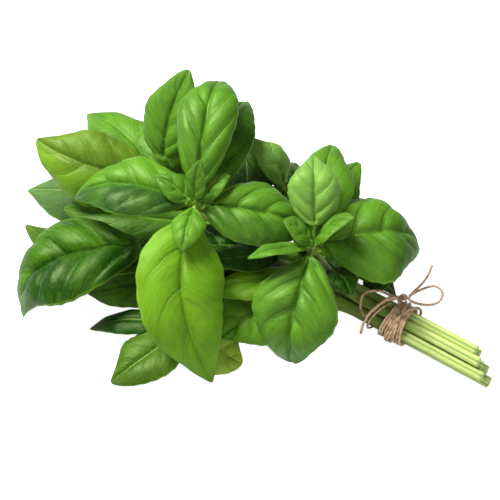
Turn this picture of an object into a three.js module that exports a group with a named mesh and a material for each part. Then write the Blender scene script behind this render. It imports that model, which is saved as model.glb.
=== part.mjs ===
import * as THREE from "three";

// A bunch of fresh basil lying on a table, its stems tied with twine.
// +X runs from the leafy heads to the cut ends of the stems, +Z is up, lengths in millimetres.
// The rows below are laid out around a point near the heads; LAYOUT_SHIFT carries them to the
// origin, which is under the middle of the bunch on the table.
const LAYOUT_SHIFT = new THREE.Vector3(1.7, 12.4, 0);

// Stems: soft green shoots, packed round one another where they are tied.
const STEM_CUT_DIAMETER = 4.9;
const STEM_HEAD_DIAMETER = 3.0;
const STEM_SPACING = 5.4;
const STEM_SIDES = 8;
const STEM_STEPS = 16;
const STEM_STRAIGHT_STEPS = 4;
const STRAIGHT_BEFORE_TIE = 20;
const UP = new THREE.Vector3(0, 0, 1);
const TIE = new THREE.Vector3(69, -58, 10.65);
const CUT_WAY = new THREE.Vector3(37.3, -25, -3.1).normalize();
const ACROSS = new THREE.Vector3().crossVectors(UP, CUT_WAY).normalize();
const OVER = new THREE.Vector3().crossVectors(CUT_WAY, ACROSS);
const BUD_HALF = [1.3, 1.3, 2.2];
const BUD_GAP = 0.4;
const BUD_SIDES = 8;
const BUD_ROWS = 6;

// Leaves: a short stalk, then an oval blade that is domed between a sunken midrib and its margins.
const LEAF_THICKNESS = 0.6;
const STALK_HALF_WIDTH = 0.9;
const TIP_HALF_WIDTH = 0.4;
const BLADE_FULLNESS = 0.8;
const BLADE_BROAD_END = 0.8;
const LEAF_STEPS_ACROSS = 4;
const LEAF_STEPS_ALONG = 8;
const SMALL_LEAF_WIDTH = 18;
const SMALL_LEAF_STEPS = 6;
const STALK_GAP = 1.1;
const HOOK_START = 0.6;

// Twine: thin jute wound round the bundle and finished in a bow. Each end of it makes one loop and
// runs out as a short tail, given as points around the middle of the knot.
const TWINE_DIAMETER = 1.2;
const BOW_SIDES = 8;
const BOW_STEPS = 44;
const WRAP_SIDES = 6;
const WRAP_TURNS = 8;
const WRAP_PITCH = 1.5;
const WRAP_STEPS_PER_TURN = 14;
const WRAP_RADIUS = 9;
const KNOT_ANGLE = 65;
const KNOT_HALF = [3, 2, 1.7];
const KNOT_SIDES = 10;
const KNOT_ROWS = 8;
const KNOT_GAP = 0.35;
const KNOT_PAST_TIE = -3;
const BOW_RIGHT = [
  [3.5, 0.6, 0.3], [5.6, 2, 0.6], [9.2, 4, 1], [13.3, 5.8, 1.2], [16.1, 6.4, 1], [18.5, 5.2, 0.4],
  [19.6, 3.2, -0.6], [18.5, 0.4, -1.9], [16, -1.2, -2.7], [12, -1.8, -2.9], [8, -1.6, -2.3],
  [4.8, -1.4, -0.9], [3.4, -1.6, 1], [4.2, -0.8, 2.8], [7.7, 2.8, 3.7], [10.6, 6, 4.4],
  [13.2, 10, 5.5], [15.2, 14.6, 6.8],
];
const BOW_LEFT = [
  [-3.5, 0.6, 0.4], [-5.4, 1, 0.8], [-8, 2.2, 1.4], [-11.6, 2.9, 1.8], [-15.2, 2.4, 1.4],
  [-17.8, 0.8, 0.6], [-18.8, -2.2, -1.1], [-18.6, -5, -3], [-17.1, -6.9, -4.4], [-14.4, -6.2, -3],
  [-10.8, -4, -1], [-6.6, -1.6, 0.2], [-3.6, -1.6, 0.6], [-2.6, -2.4, 2.2], [-5, -2.4, 3.1],
  [-8.6, -4, 1.9], [-12.6, -6.6, -0.2], [-15.2, -8.4, -1.9], [-17, -10.4, -4.1], [-18, -11.6, -5.8],
  [-19, -14, -9.3],
];

// One row per stem: name, ring angle round the bundle in degrees (null is its middle stem),
// length past the tie, growing point, the way it points, and how far the bent part of the stem
// keeps its way at its start and at its growing point.
const SPRIGS = [
  ["a", 60, 39, [-25, -30, 59], [0, -0.7, 0.7], 30, 26],
  ["g", 120, 43, [29, -46, 48], [0.1, -0.6, 0.8], 10, 18],
  ["b", null, 44, [-42, 10, 42], [-0.3, 0.1, 0.9], 44, 26],
  ["c", 180, 47, [-38, -32, 32], [-0.9, -0.2, 0.3], 34, 24],
  ["d", 240, 50, [-34, -60, 12], [-0.9, -0.2, 0.2], 26, 30],
  ["k", 300, 46, [-52, 34, 20], [-0.8, 0.4, 0.3], 44, 30],
  ["h", 0, 40, [17, 9, 31], [0.5, 0.1, 0.8], 18, 16],
];

// One row per leaf: name, sprig, place along the bent part of its stem, tip, height of the midrib
// above the straight line to the tip, where along it that height sits, turn about that line in
// degrees, sideways sweep, stalk share, blade width, rise at the midrib, fall at the margin, and
// how far the tip hooks down.
const LEAVES = [
  ["a1", "a", 0.985, [-12.5, 38, 74], 20, 0.5, 0, 0, 0.07, 30.5, 28, 50, 10],
  ["a2", "a", 0.97, [-82, -13, 48], 7, 0.5, -5, -2, 0.05, 40, 40, 45, 5],
  ["a3", "a", 0.97, [28, -31, 42], 6, 0.5, 16, 0, 0.05, 37, 32, 50, 5],
  ["a4", "a", 0.94, [-17, -86, 0.8], 11, 0.45, -10, -13, 0.07, 43, 18, 32, 6],
  ["a5", "a", 1, [-30, -55, 54], 3, 0.5, 0, 0, 0.1, 17, 25, 40, 2],
  ["a6", "a", 1, [-22, -24, 81], 2, 0.5, 0, 0, 0.1, 11, 30, 30, 1],
  ["a7", "a", 0.99, [-43, -21, 68], 2, 0.5, -10, 0, 0.1, 15, 30, 30, 2],
  ["a8", "a", 0.96, [-9, -20, 68], 2, 0.5, 5, 0, 0.1, 13, 30, 30, 2],
  ["a9", "a", 0.56, [-2, 42, 26], 4, 0.5, 0, 0, 0.12, 28, 20, 40, 4],
  ["a10", "a", 0.8, [-2, 45.5, 58], 12, 0.5, 0, 0, 0.12, 27, 20, 40, 4],
  ["a11", "a", 0.38, [-20, -38, 30], 1, 0.5, 0, 0, 0.1, 20, 10, 15, 2],
  ["b1", "b", 1, [-28.5, 32, 88], 5, 0.5, 0, 2, 0.12, 31.5, 24, 35, 0],
  ["b2", "b", 0.95, [-104, 25, 51], 8, 0.5, -40, 5, 0.12, 40, 14, 45, 3],
  ["b3", "b", 0.84, [-84, 63.5, 34.5], 8, 0.5, 0, 0, 0.12, 34, 25, 45, 6],
  ["b4", "b", 0.7, [-113, 29, 14], 6, 0.5, -15, 0, 0.12, 45, 20, 45, 2],
  ["b5", "b", 0.62, [-91, 4, 25], 3.3, 0.5, -20, 2, 0.16, 33, 28, 45, 3],
  ["b6", "b", 0.9, [-46, 56, 40], 8, 0.5, 0, 0, 0.12, 32, 25, 40, 4],
  ["c1", "c", 1, [-107.5, -45.5, 0.8], 16, 0.75, 0, -7, 0.1, 57, 36, 45, 4],
  ["c2", "c", 0.8, [-113, 13.5, 4.5], 1, 0.5, 0, 14, 0.14, 24, 20, 35, 0],
  ["c3", "c", 0.7, [-78.4, -30.5, 0.8], 4, 0.5, -10, 5, 0.14, 27, 20, 45, 3],
  ["d1", "d", 1, [-75, -56, 4], 4, 0.5, 0, 0, 0.12, 17, 20, 45, 2],
  ["d2", "d", 0.95, [-63.5, -86, 0.6], 4, 0.5, 0, 3, 0.14, 30.5, 28, 40, 2],
  ["d3", "d", 0.86, [-3.6, -75.5, 1.4], 1, 0.5, 0, -4, 0.1, 31, 20, 30, 1],
  ["d4", "k", 0.42, [-36, -15, 15], 2, 0.5, 6, 0, 0.16, 37, 5, 8, 2],
  ["d5", "c", 0.3, [-13, -66, 9.5], 3, 0.5, -20, 0, 0.25, 37, 25, 40, 3],
  ["g1", "g", 0.97, [19.5, -74, 0.8], 16, 0.5, 0, 0, 0.06, 41, 28, 38, 11],
  ["g2", "g", 0.95, [79, -28, 31], 10, 0.5, 15, 0, 0.06, 52, 24, 50, 8],
  ["g3", "g", 0.97, [29, -11.5, 72.5], 7, 0.5, 0, 0, 0.2, 26, 28, 45, 10],
  ["g4", "g", 0.92, [39, 9.5, 60.5], 7, 0.5, 0, 0, 0.12, 30, 28, 45, 6],
  ["g5", "h", 0.45, [52.5, 12, 47.5], 7, 0.5, 0, 0, 0.12, 28, 25, 45, 5],
  ["g6", "g", 0.99, [-1, -59, 53.5], 2, 0.5, 20, 0, 0.1, 15, 25, 30, 1],
  ["g7", "g", 1, [46, -47, 67], 3, 0.5, -10, 0, 0.1, 20, 25, 30, 1],
  ["g8", "g", 1, [15, -41, 60], 2, 0.5, 0, 0, 0.1, 15, 25, 30, 1],
  ["g9", "g", 0.37, [-22, -48, 19], 4, 0.5, 5, 0, 0.12, 27, 28, 45, 4],
  ["g10", "g", 0.5, [46, -60, 31], 5, 0.5, 0, 0, 0.1, 22, 15, 20, 2],
  ["h1", "h", 0.97, [-2.5, 24, 52], 10, 0.5, -10, -2, 0.12, 17, 20, 40, 2],
  ["h2", "h", 0.45, [69.5, -37, 6], 6, 0.5, -20, 0, 0.1, 28, 20, 40, 3],
  ["h3", "h", 0.8, [28, 56, 0.8], 10, 0.5, 0, 0, 0.2, 34, 20, 40, 3],
  ["k1", "k", 1, [-98, 52, 0.6], 10, 0.5, 0, 0, 0.12, 36, 20, 40, 3],
  ["k2", "k", 0.97, [-45, 68, 0.6], 10, 0.5, 0, 0, 0.12, 36, 20, 40, 3],
  ["k3", "k", 0.9, [-20, 58, 26], 8, 0.5, 0, 0, 0.12, 32, 20, 40, 3],
  ["k4", "k", 0.55, [-8, 64, 0.6], 7, 0.5, 0, 0, 0.2, 34, 20, 40, 3],
];

const BLADE_GREEN = "#4f8a1e";
const STEM_GREEN = "#b4cc78";
const BUD_GREEN = "#8fb845";
const TWINE_TAN = "#bfa277";

function mesh(name, geometry, color, roughness) {
  const part = new THREE.Mesh(geometry, new THREE.MeshStandardMaterial({ color, roughness, metalness: 0 }));
  part.name = name;
  return part;
}

const radians = (degrees) => (degrees * Math.PI) / 180;
const vector = (row) => new THREE.Vector3(row[0], row[1], row[2]);

// A point beside the middle of the tied bundle: an angle and distance round it, and a length past
// the tie towards the cut ends.
function aroundBundle(angle, away, past) {
  return TIE.clone().addScaledVector(CUT_WAY, past)
    .addScaledVector(ACROSS, away * Math.cos(angle))
    .addScaledVector(OVER, away * Math.sin(angle));
}

// The middle line of a stem: straight through the tied bundle, then bent up to its growing point.
function stemLine([, ringAngle, pastTie, head, headWay, outRun, headRun]) {
  const away = ringAngle === null ? 0 : STEM_SPACING;
  const angle = radians(ringAngle ?? 0);
  const start = aroundBundle(angle, away, -STRAIGHT_BEFORE_TIE);
  const leave = aroundBundle(angle, away, -STRAIGHT_BEFORE_TIE - outRun);
  const arrive = vector(head).addScaledVector(vector(headWay).normalize(), -headRun);
  const bend = new THREE.CubicBezierCurve3(start, leave, arrive, vector(head));
  return { cut: aroundBundle(angle, away, pastTie), bend };
}

const stemRadius = (bent) => THREE.MathUtils.lerp(STEM_CUT_DIAMETER, STEM_HEAD_DIAMETER, bent) / 2;

// A cylinder's rows are moved to stations along the stem, so the tube tapers and stays closed.
function stem(sprig) {
  const { cut, bend } = stemLine(sprig);
  const geometry = new THREE.CylinderGeometry(1, 1, 1, STEM_SIDES, STEM_STEPS);
  const place = geometry.attributes.position;
  for (let i = 0; i < place.count; i++) {
    const step = Math.round((place.getY(i) + 0.5) * STEM_STEPS) - STEM_STRAIGHT_STEPS;
    const bent = Math.max(0, step / (STEM_STEPS - STEM_STRAIGHT_STEPS));
    const centre = bend.getPoint(bent).lerp(cut, Math.max(0, -step / STEM_STRAIGHT_STEPS));
    const side = new THREE.Vector3().crossVectors(bend.getTangent(bent), UP).normalize();
    const lift = new THREE.Vector3().crossVectors(side, bend.getTangent(bent));
    centre.addScaledVector(side, place.getX(i) * stemRadius(bent));
    centre.addScaledVector(lift, place.getZ(i) * stemRadius(bent));
    place.setXYZ(i, ...centre.toArray());
  }
  return mesh(`stem_${sprig[0]}`, geometry, STEM_GREEN, 0.55);
}

// The growing point of a sprig, a tight bud between its youngest leaves.
function bud(sprig) {
  const { bend } = stemLine(sprig);
  const way = bend.getTangent(1);
  const geometry = new THREE.SphereGeometry(1, BUD_SIDES, BUD_ROWS).scale(...BUD_HALF);
  geometry.applyQuaternion(new THREE.Quaternion().setFromUnitVectors(UP, way));
  geometry.translate(...bend.getPoint(1).addScaledVector(way, BUD_HALF[2] + BUD_GAP).toArray());
  return mesh(`bud_${sprig[0]}`, geometry, BUD_GREEN, 0.5);
}

// A midrib bows up from its stem to its tip, and its end hooks down.
class MidribLine extends THREE.Curve {
  constructor(root, knee, tip, hook) {
    super();
    this.bow = new THREE.QuadraticBezierCurve3(root, knee, tip.clone().add(hook));
    this.hook = hook;
  }

  getPoint(t, target = new THREE.Vector3()) {
    const end = Math.max(0, (t - HOOK_START) / (1 - HOOK_START));
    return this.bow.getPoint(t, target).addScaledVector(this.hook, -end * end);
  }
}

// The line of a leaf's midrib from its stem to its tip, and the way the leaf's width runs.
function midribLine([, sprigName, at, tipRow, bow, lean, roll, sweep, , , , , hook]) {
  const { bend } = stemLine(SPRIGS.find((sprig) => sprig[0] === sprigName));
  const root = bend.getPoint(at);
  const tip = vector(tipRow);
  const stemWay = bend.getTangent(at);
  const outward = tip.clone().sub(root);
  outward.addScaledVector(stemWay, -outward.dot(stemWay)).normalize();
  root.addScaledVector(outward, stemRadius(at) + STALK_GAP);

  const chord = tip.clone().sub(root);
  const way = chord.clone().normalize();
  const face = UP.clone().addScaledVector(way, -way.z).normalize().applyAxisAngle(way, radians(roll));
  const side = new THREE.Vector3().crossVectors(face, way);
  const knee = root.clone().addScaledVector(chord, lean);
  knee.addScaledVector(face, 2 * bow).addScaledVector(side, 2 * sweep);
  return { midrib: new MidribLine(root, knee, tip, face.multiplyScalar(hook)), side };
}

// Half the leaf's width: the stalk is narrow, and the blade swells from it and comes to a point.
function halfWidth(along, stalk, width) {
  const blade = THREE.MathUtils.clamp((along - stalk) / (1 - stalk), 0, 1);
  const narrow = THREE.MathUtils.lerp(STALK_HALF_WIDTH, TIP_HALF_WIDTH, along);
  const swell = Math.max(0, Math.sin(Math.PI * blade ** BLADE_BROAD_END)) ** BLADE_FULLNESS;
  return narrow + (width / 2 - narrow) * swell;
}

// A box, thin across Y and divided along its other sides, is bent into the leaf: X goes across the
// blade, Y through it and Z from the stalk to the tip.
function leaf(row) {
  const { midrib, side } = midribLine(row);
  const [name, , , , , , , , stalk, width, rise, fall] = row;
  const stepsAlong = width > SMALL_LEAF_WIDTH ? LEAF_STEPS_ALONG : SMALL_LEAF_STEPS;
  const geometry = new THREE.BoxGeometry(1, 1, 1, LEAF_STEPS_ACROSS, 1, stepsAlong);
  const place = geometry.attributes.position;
  const lift = radians(rise);
  const turn = radians(rise + fall);
  for (let i = 0; i < place.count; i++) {
    const across = 2 * place.getX(i);
    const through = LEAF_THICKNESS * place.getY(i);
    const along = place.getZ(i) + 0.5;
    const half = halfWidth(along, stalk, width);
    const slope = lift - turn * Math.abs(across);
    const out = (half * (Math.sin(lift) - Math.sin(slope))) / turn - through * Math.sin(slope);
    const up = (half * (Math.cos(slope) - Math.cos(lift))) / turn + through * Math.cos(slope);
    const way = midrib.getTangent(along);
    const wide = side.clone().addScaledVector(way, -side.dot(way)).normalize();
    const face = new THREE.Vector3().crossVectors(way, wide);
    const point = midrib.getPoint(along);
    point.addScaledVector(wide, Math.sign(across) * out).addScaledVector(face, up);
    place.setXYZ(i, ...point.toArray());
  }
  return mesh(`leaf_${name}`, geometry, BLADE_GREEN, 0.4);
}

// A round strand along a line, closed at both ends.
function strand(name, line, steps, sides) {
  const round = new THREE.Shape().absarc(0, 0, TWINE_DIAMETER / 2, 0, 2 * Math.PI);
  const geometry = new THREE.ExtrudeGeometry(round, {
    steps, extrudePath: line, bevelEnabled: false, curveSegments: sides / 2,
  });
  return mesh(name, geometry, TWINE_TAN, 0.95);
}

// The band: the twine goes round and round the bundle, each turn beside the last.
class WrapLine extends THREE.Curve {
  getPoint(t, target = new THREE.Vector3()) {
    const turns = WRAP_TURNS * (t - 0.5);
    return target.copy(aroundBundle(2 * Math.PI * turns, WRAP_RADIUS, WRAP_PITCH * turns));
  }
}

function twine() {
  const knotAway = WRAP_RADIUS + TWINE_DIAMETER / 2 + KNOT_GAP + KNOT_HALF[2];
  const middle = aroundBundle(radians(KNOT_ANGLE), knotAway, KNOT_PAST_TIE);
  const knot = new THREE.SphereGeometry(1, KNOT_SIDES, KNOT_ROWS).scale(...KNOT_HALF);
  knot.translate(...middle.toArray());
  const ends = { right: BOW_RIGHT, left: BOW_LEFT };
  const bows = Object.entries(ends).map(([side, rows]) => {
    const points = rows.map((row) => vector(row).add(middle));
    return strand(`bow_${side}`, new THREE.CatmullRomCurve3(points), BOW_STEPS, BOW_SIDES);
  });
  const wrap = strand("twine_wrap", new WrapLine(), WRAP_TURNS * WRAP_STEPS_PER_TURN, WRAP_SIDES);
  return [wrap, mesh("twine_knot", knot, TWINE_TAN, 0.95), ...bows];
}

const bunch = new THREE.Group();
for (const sprig of SPRIGS) bunch.add(stem(sprig));
for (const row of LEAVES) bunch.add(leaf(row));
bunch.add(...SPRIGS.map(bud), ...twine());
for (const part of bunch.children) part.geometry.translate(...LAYOUT_SHIFT.toArray());

export default bunch;
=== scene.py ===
import math
import random

import bmesh
import bpy
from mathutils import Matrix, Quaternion, Vector, noise


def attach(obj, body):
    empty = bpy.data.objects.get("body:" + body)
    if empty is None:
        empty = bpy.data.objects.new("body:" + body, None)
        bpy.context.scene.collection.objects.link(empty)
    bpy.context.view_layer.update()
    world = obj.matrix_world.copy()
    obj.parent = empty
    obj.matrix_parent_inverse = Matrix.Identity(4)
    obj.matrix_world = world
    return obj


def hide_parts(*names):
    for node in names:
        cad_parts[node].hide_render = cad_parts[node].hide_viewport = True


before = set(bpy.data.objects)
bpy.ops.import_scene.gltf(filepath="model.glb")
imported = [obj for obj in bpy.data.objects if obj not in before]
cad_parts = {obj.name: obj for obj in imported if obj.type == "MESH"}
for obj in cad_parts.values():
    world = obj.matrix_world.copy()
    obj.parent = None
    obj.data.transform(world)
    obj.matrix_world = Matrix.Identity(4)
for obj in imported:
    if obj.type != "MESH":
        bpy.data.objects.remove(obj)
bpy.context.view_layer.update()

# ---------------------------------------------------------------------------------------------
# Camera. It looks across the side of the bunch, halfway between level and straight down. All
# sizes below are in millimetres round a point near the leafy heads, and LAYOUT_SHIFT carries
# them to the frame's origin, as in the solids.
MM = 0.001
LAYOUT_SHIFT = Vector((1.7, 12.4, 0))
CAMERA_AWAY = 491
CAMERA_LENS = 100
CAMERA_TILT = 45

camera_data = bpy.data.cameras.new("camera")
camera_data.lens = CAMERA_LENS
camera = bpy.data.objects.new("camera", camera_data)
camera.location = (LAYOUT_SHIFT + Vector((0, -CAMERA_AWAY, CAMERA_AWAY))) * MM
camera.rotation_euler = (math.radians(CAMERA_TILT), 0, 0)
bpy.context.scene.collection.objects.link(camera)
bpy.context.scene.camera = camera

# ---------------------------------------------------------------------------------------------
# Stems. Seven soft green shoots, four-sided with rounded ribs, cut off level with a knife. They
# run side by side through the tie and then bend up to their growing points, with a slight
# swelling wherever a pair of leaves grows out.
STEM_CUT_DIAMETER = 4.9
STEM_HEAD_DIAMETER = 3.0
STEM_SPACING = 5.4
STEM_SIDES = 24
STEM_ROWS = 90
STEM_RIBS = 4
STEM_RIB_SHARE = 0.055
STEM_UNEVEN_SHARE = 0.05
JOINT_SWELLING = 0.22
JOINT_REACH = 2.2
STEM_MEASURE_STEPS = 40
STRAIGHT_BEFORE_TIE = 20
TIE = Vector((69, -58, 10.65))
CUT_WAY = Vector((37.3, -25, -3.1)).normalized()
UP = Vector((0, 0, 1))
ACROSS = UP.cross(CUT_WAY).normalized()
OVER = CUT_WAY.cross(ACROSS)

# Name, ring angle round the bundle (None is its middle stem), length past the tie, growing
# point, the way it points, and how far the stem runs straight at its two ends.
SPRIGS = [
    ("a", 60, 39, (-25, -30, 59), (0, -0.7, 0.7), 30, 26),
    ("g", 120, 43, (29, -46, 48), (0.1, -0.6, 0.8), 10, 18),
    ("b", None, 44, (-42, 10, 42), (-0.3, 0.1, 0.9), 44, 26),
    ("c", 180, 47, (-38, -32, 32), (-0.9, -0.2, 0.3), 34, 24),
    ("d", 240, 50, (-34, -60, 12), (-0.9, -0.2, 0.2), 26, 30),
    ("k", 300, 46, (-52, 34, 20), (-0.8, 0.4, 0.3), 44, 30),
    ("h", 0, 40, (17, 9, 31), (0.5, 0.1, 0.8), 18, 16),
]

STEM_PALE = (206, 224, 130)
# Darker shoot green: partly the shoot's own green, partly painted shade on the stems.
STEM_SHADED_GREEN = (124, 142, 58)
# The shoot's own darker streaks and patches, and painted shade in the grooves between its ribs.
STEM_STREAK_AND_GROOVE_SHADE = (112, 148, 62)
STEM_CUT = (206, 218, 158)
STEM_CUT_RIM = (150, 176, 92)


def paint(colour, alpha=1.0):
    """A colour given as 0 to 255 display values, as the shader wants it."""
    shares = [value / 255 for value in colour]
    linear = [s / 12.92 if s <= 0.04045 else ((s + 0.055) / 1.055) ** 2.4 for s in shares]
    return (*linear, alpha)


def wire(tree, kind, inputs=None, **settings):
    """A node of that kind, with its inputs set or linked."""
    node = tree.nodes.new(kind)
    for name, value in settings.items():
        setattr(node, name, value)
    for name, value in (inputs or {}).items():
        if isinstance(value, bpy.types.NodeSocket):
            tree.links.new(value, node.inputs[name])
        else:
            node.inputs[name].default_value = value
    return node


def mix_paint(tree, share, first, second):
    """Two colours mixed by a share, as a socket."""
    first = paint(first) if isinstance(first, tuple) else first
    second = paint(second) if isinstance(second, tuple) else second
    return wire(tree, "ShaderNodeMix", {0: share, 6: first, 7: second}, data_type="RGBA").outputs[2]


def sums(tree, operation, first, second=0.0, third=0.0):
    """One step of arithmetic on sockets or numbers, as a socket."""
    inputs = {0: first, 1: second, 2: third}
    return wire(tree, "ShaderNodeMath", inputs, operation=operation).outputs[0]


def ramp(tree, value, low, high, start=0.0, end=1.0):
    """A value carried smoothly from low..high to start..end, as a socket."""
    inputs = {"Value": value, "From Min": low, "From Max": high, "To Min": start, "To Max": end}
    return wire(tree, "ShaderNodeMapRange", inputs, interpolation_type="SMOOTHSTEP").outputs[0]


def material(name):
    """An empty material, its node tree and its Principled shader."""
    made = bpy.data.materials.new(name)
    made.use_nodes = True
    return made, made.node_tree, made.node_tree.nodes["Principled BSDF"]


def smoothstep(low, high, value):
    share = min(1.0, max(0.0, (value - low) / (high - low)))
    return share * share * (3 - 2 * share)


def bezier(points, share):
    """A point on the Bezier curve with those control points."""
    while len(points) > 1:
        points = [a.lerp(b, share) for a, b in zip(points, points[1:])]
    return points[0]


def bezier_way(points, share):
    """The way the curve runs there."""
    return bezier([b - a for a, b in zip(points, points[1:])], share).normalized()


def around_bundle(degrees, away, past):
    """A point beside the middle of the tied bundle."""
    turn = math.radians(degrees)
    return TIE + CUT_WAY * past + ACROSS * away * math.cos(turn) + OVER * away * math.sin(turn)


def stem_line(sprig):
    """The stem's cut end, and the control points of its bent part."""
    _, ring_angle, past_tie, head, head_way, out_run, head_run = sprig
    angle, away = (0, 0) if ring_angle is None else (ring_angle, STEM_SPACING)
    arrive = Vector(head) - Vector(head_way).normalized() * head_run
    start = around_bundle(angle, away, -STRAIGHT_BEFORE_TIE)
    leave = around_bundle(angle, away, -STRAIGHT_BEFORE_TIE - out_run)
    return around_bundle(angle, away, past_tie), [start, leave, arrive, Vector(head)]


def stem_radius(bent):
    """The stem's radius at a share of its bent part; it thins towards its growing point."""
    return (STEM_CUT_DIAMETER + (STEM_HEAD_DIAMETER - STEM_CUT_DIAMETER) * bent) / 2


def shells(bm):
    """The faces of each closed shell in the bmesh, shell by shell."""
    left = set(bm.faces)
    while left:
        shell, edge = [], [left.pop()]
        while edge:
            face = edge.pop()
            shell.append(face)
            near = {other for vert in face.verts for other in vert.link_faces} & left
            left -= near
            edge.extend(near)
        yield shell


def signed_volume(shell):
    """Six times the volume inside a closed shell, below zero where its faces look inwards."""
    start = shell[0].verts[0].co
    total = 0.0
    for face in shell:
        first, *others = [vert.co - start for vert in face.verts]
        for a, b in zip(others, others[1:]):
            total += first.dot(a.cross(b))
    return total


def finished(bm, name, materials, body="root"):
    """The bmesh as a closed, smooth piece in the scene, its place in its mesh."""
    bmesh.ops.remove_doubles(bm, verts=bm.verts, dist=1e-7)
    bmesh.ops.recalc_face_normals(bm, faces=bm.faces)
    for shell in shells(bm):
        if signed_volume(shell) < 0:
            bmesh.ops.reverse_faces(bm, faces=shell)
    mesh = bpy.data.meshes.new(name)
    bm.to_mesh(mesh)
    bm.free()
    for made in materials:
        mesh.materials.append(made)
    piece = bpy.data.objects.new(name, mesh)
    bpy.context.scene.collection.objects.link(piece)
    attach(piece, body)
    return piece


def rolled_grid(bm, sides, rows, place):
    """A flat grid rolled into a closed tube: place(round, along) gives each point in millimetres,
    with both shares from 0 to 1. Its map holds those shares. Its first and last rows are poles."""
    shares = bm.loops.layers.uv.get("shares") or bm.loops.layers.uv.new("shares")
    made = bmesh.ops.create_grid(bm, x_segments=sides, y_segments=rows, size=0.5)["verts"]
    faces = {face for vert in made for face in vert.link_faces}
    for face in faces:
        face.smooth = True
        for loop in face.loops:
            loop[shares].uv = (loop.vert.co.x + 0.5, loop.vert.co.y + 0.5)
    for vert in made:
        vert.co = (place(vert.co.x + 0.5, vert.co.y + 0.5) + LAYOUT_SHIFT) * MM
    return faces


def stem_material():
    made, tree, shader = material("stem skin")
    shares = wire(tree, "ShaderNodeUVMap", uv_map="shares").outputs[0]
    parts = wire(tree, "ShaderNodeSeparateXYZ", {0: shares}).outputs
    ribs = sums(tree, "COSINE", sums(tree, "MULTIPLY", parts[0], 2 * math.pi * STEM_RIBS))
    groove = ramp(tree, ribs, -0.2, -1.0)
    streaks = wire(tree, "ShaderNodeMapping", {0: shares, 3: (34, 5, 1)}).outputs[0]
    streak = wire(tree, "ShaderNodeTexNoise", {"Vector": streaks, "Scale": 1.0, "Detail": 4}).outputs[0]
    place = wire(tree, "ShaderNodeTexCoord").outputs["Object"]
    mottle = wire(tree, "ShaderNodeTexNoise", {"Vector": place, "Scale": 90, "Detail": 3}).outputs[0]
    # Pale towards the cut end, darker olive green from about the tie towards the heads: partly the
    # shoot's own green, partly painted shade where the leaves and twine shadow the stems.
    pale = mix_paint(tree, ramp(tree, parts[1], 0.22, 0.36), STEM_PALE, STEM_SHADED_GREEN)
    streaked = mix_paint(tree, ramp(tree, streak, 0.45, 0.75, 0, 0.5), pale, STEM_STREAK_AND_GROOVE_SHADE)
    patched = mix_paint(tree, ramp(tree, mottle, 0.5, 0.8, 0, 0.35), streaked, STEM_STREAK_AND_GROOVE_SHADE)
    # Painted shade: the grooves between the ribs are darkened.
    colour = mix_paint(tree, sums(tree, "MULTIPLY", groove, 0.75), patched, STEM_STREAK_AND_GROOVE_SHADE)
    tree.links.new(colour, shader.inputs["Base Color"])
    height = wire(tree, "ShaderNodeBump", {"Strength": 0.5, "Distance": 0.0002, "Height": streak})
    tree.links.new(height.outputs[0], shader.inputs["Normal"])
    shader.inputs["Roughness"].default_value = 0.42
    shader.inputs["Subsurface Weight"].default_value = 0.25
    shader.inputs["Subsurface Radius"].default_value = (0.8, 1.0, 0.4)
    shader.inputs["Subsurface Scale"].default_value = 0.0015
    return made


def stem_cut_material():
    made, tree, shader = material("stem cut end")
    place = wire(tree, "ShaderNodeTexCoord").outputs["Object"]
    cells = wire(tree, "ShaderNodeTexVoronoi", {"Vector": place, "Scale": 2600}).outputs[0]
    shares = wire(tree, "ShaderNodeUVMap", uv_map="shares").outputs[0]
    along = wire(tree, "ShaderNodeSeparateXYZ", {0: shares}).outputs[1]
    rim = ramp(tree, along, 1.2 / STEM_ROWS, 3.0 / STEM_ROWS)
    pith = mix_paint(tree, rim, STEM_CUT, STEM_CUT_RIM)
    colour = mix_paint(tree, ramp(tree, cells, 0.2, 0.7, 0, 0.3), pith, STEM_CUT_RIM)
    tree.links.new(colour, shader.inputs["Base Color"])
    height = wire(tree, "ShaderNodeBump", {"Strength": 0.4, "Distance": 0.0002, "Height": cells})
    tree.links.new(height.outputs[0], shader.inputs["Normal"])
    shader.inputs["Roughness"].default_value = 0.5
    return made


STEM_SKIN = stem_material()
CUT_SKIN = stem_cut_material()
CAP_ROWS = [(0, 0), (0.45, 0), (0.86, 0.02), (1, 0.25)]


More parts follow.
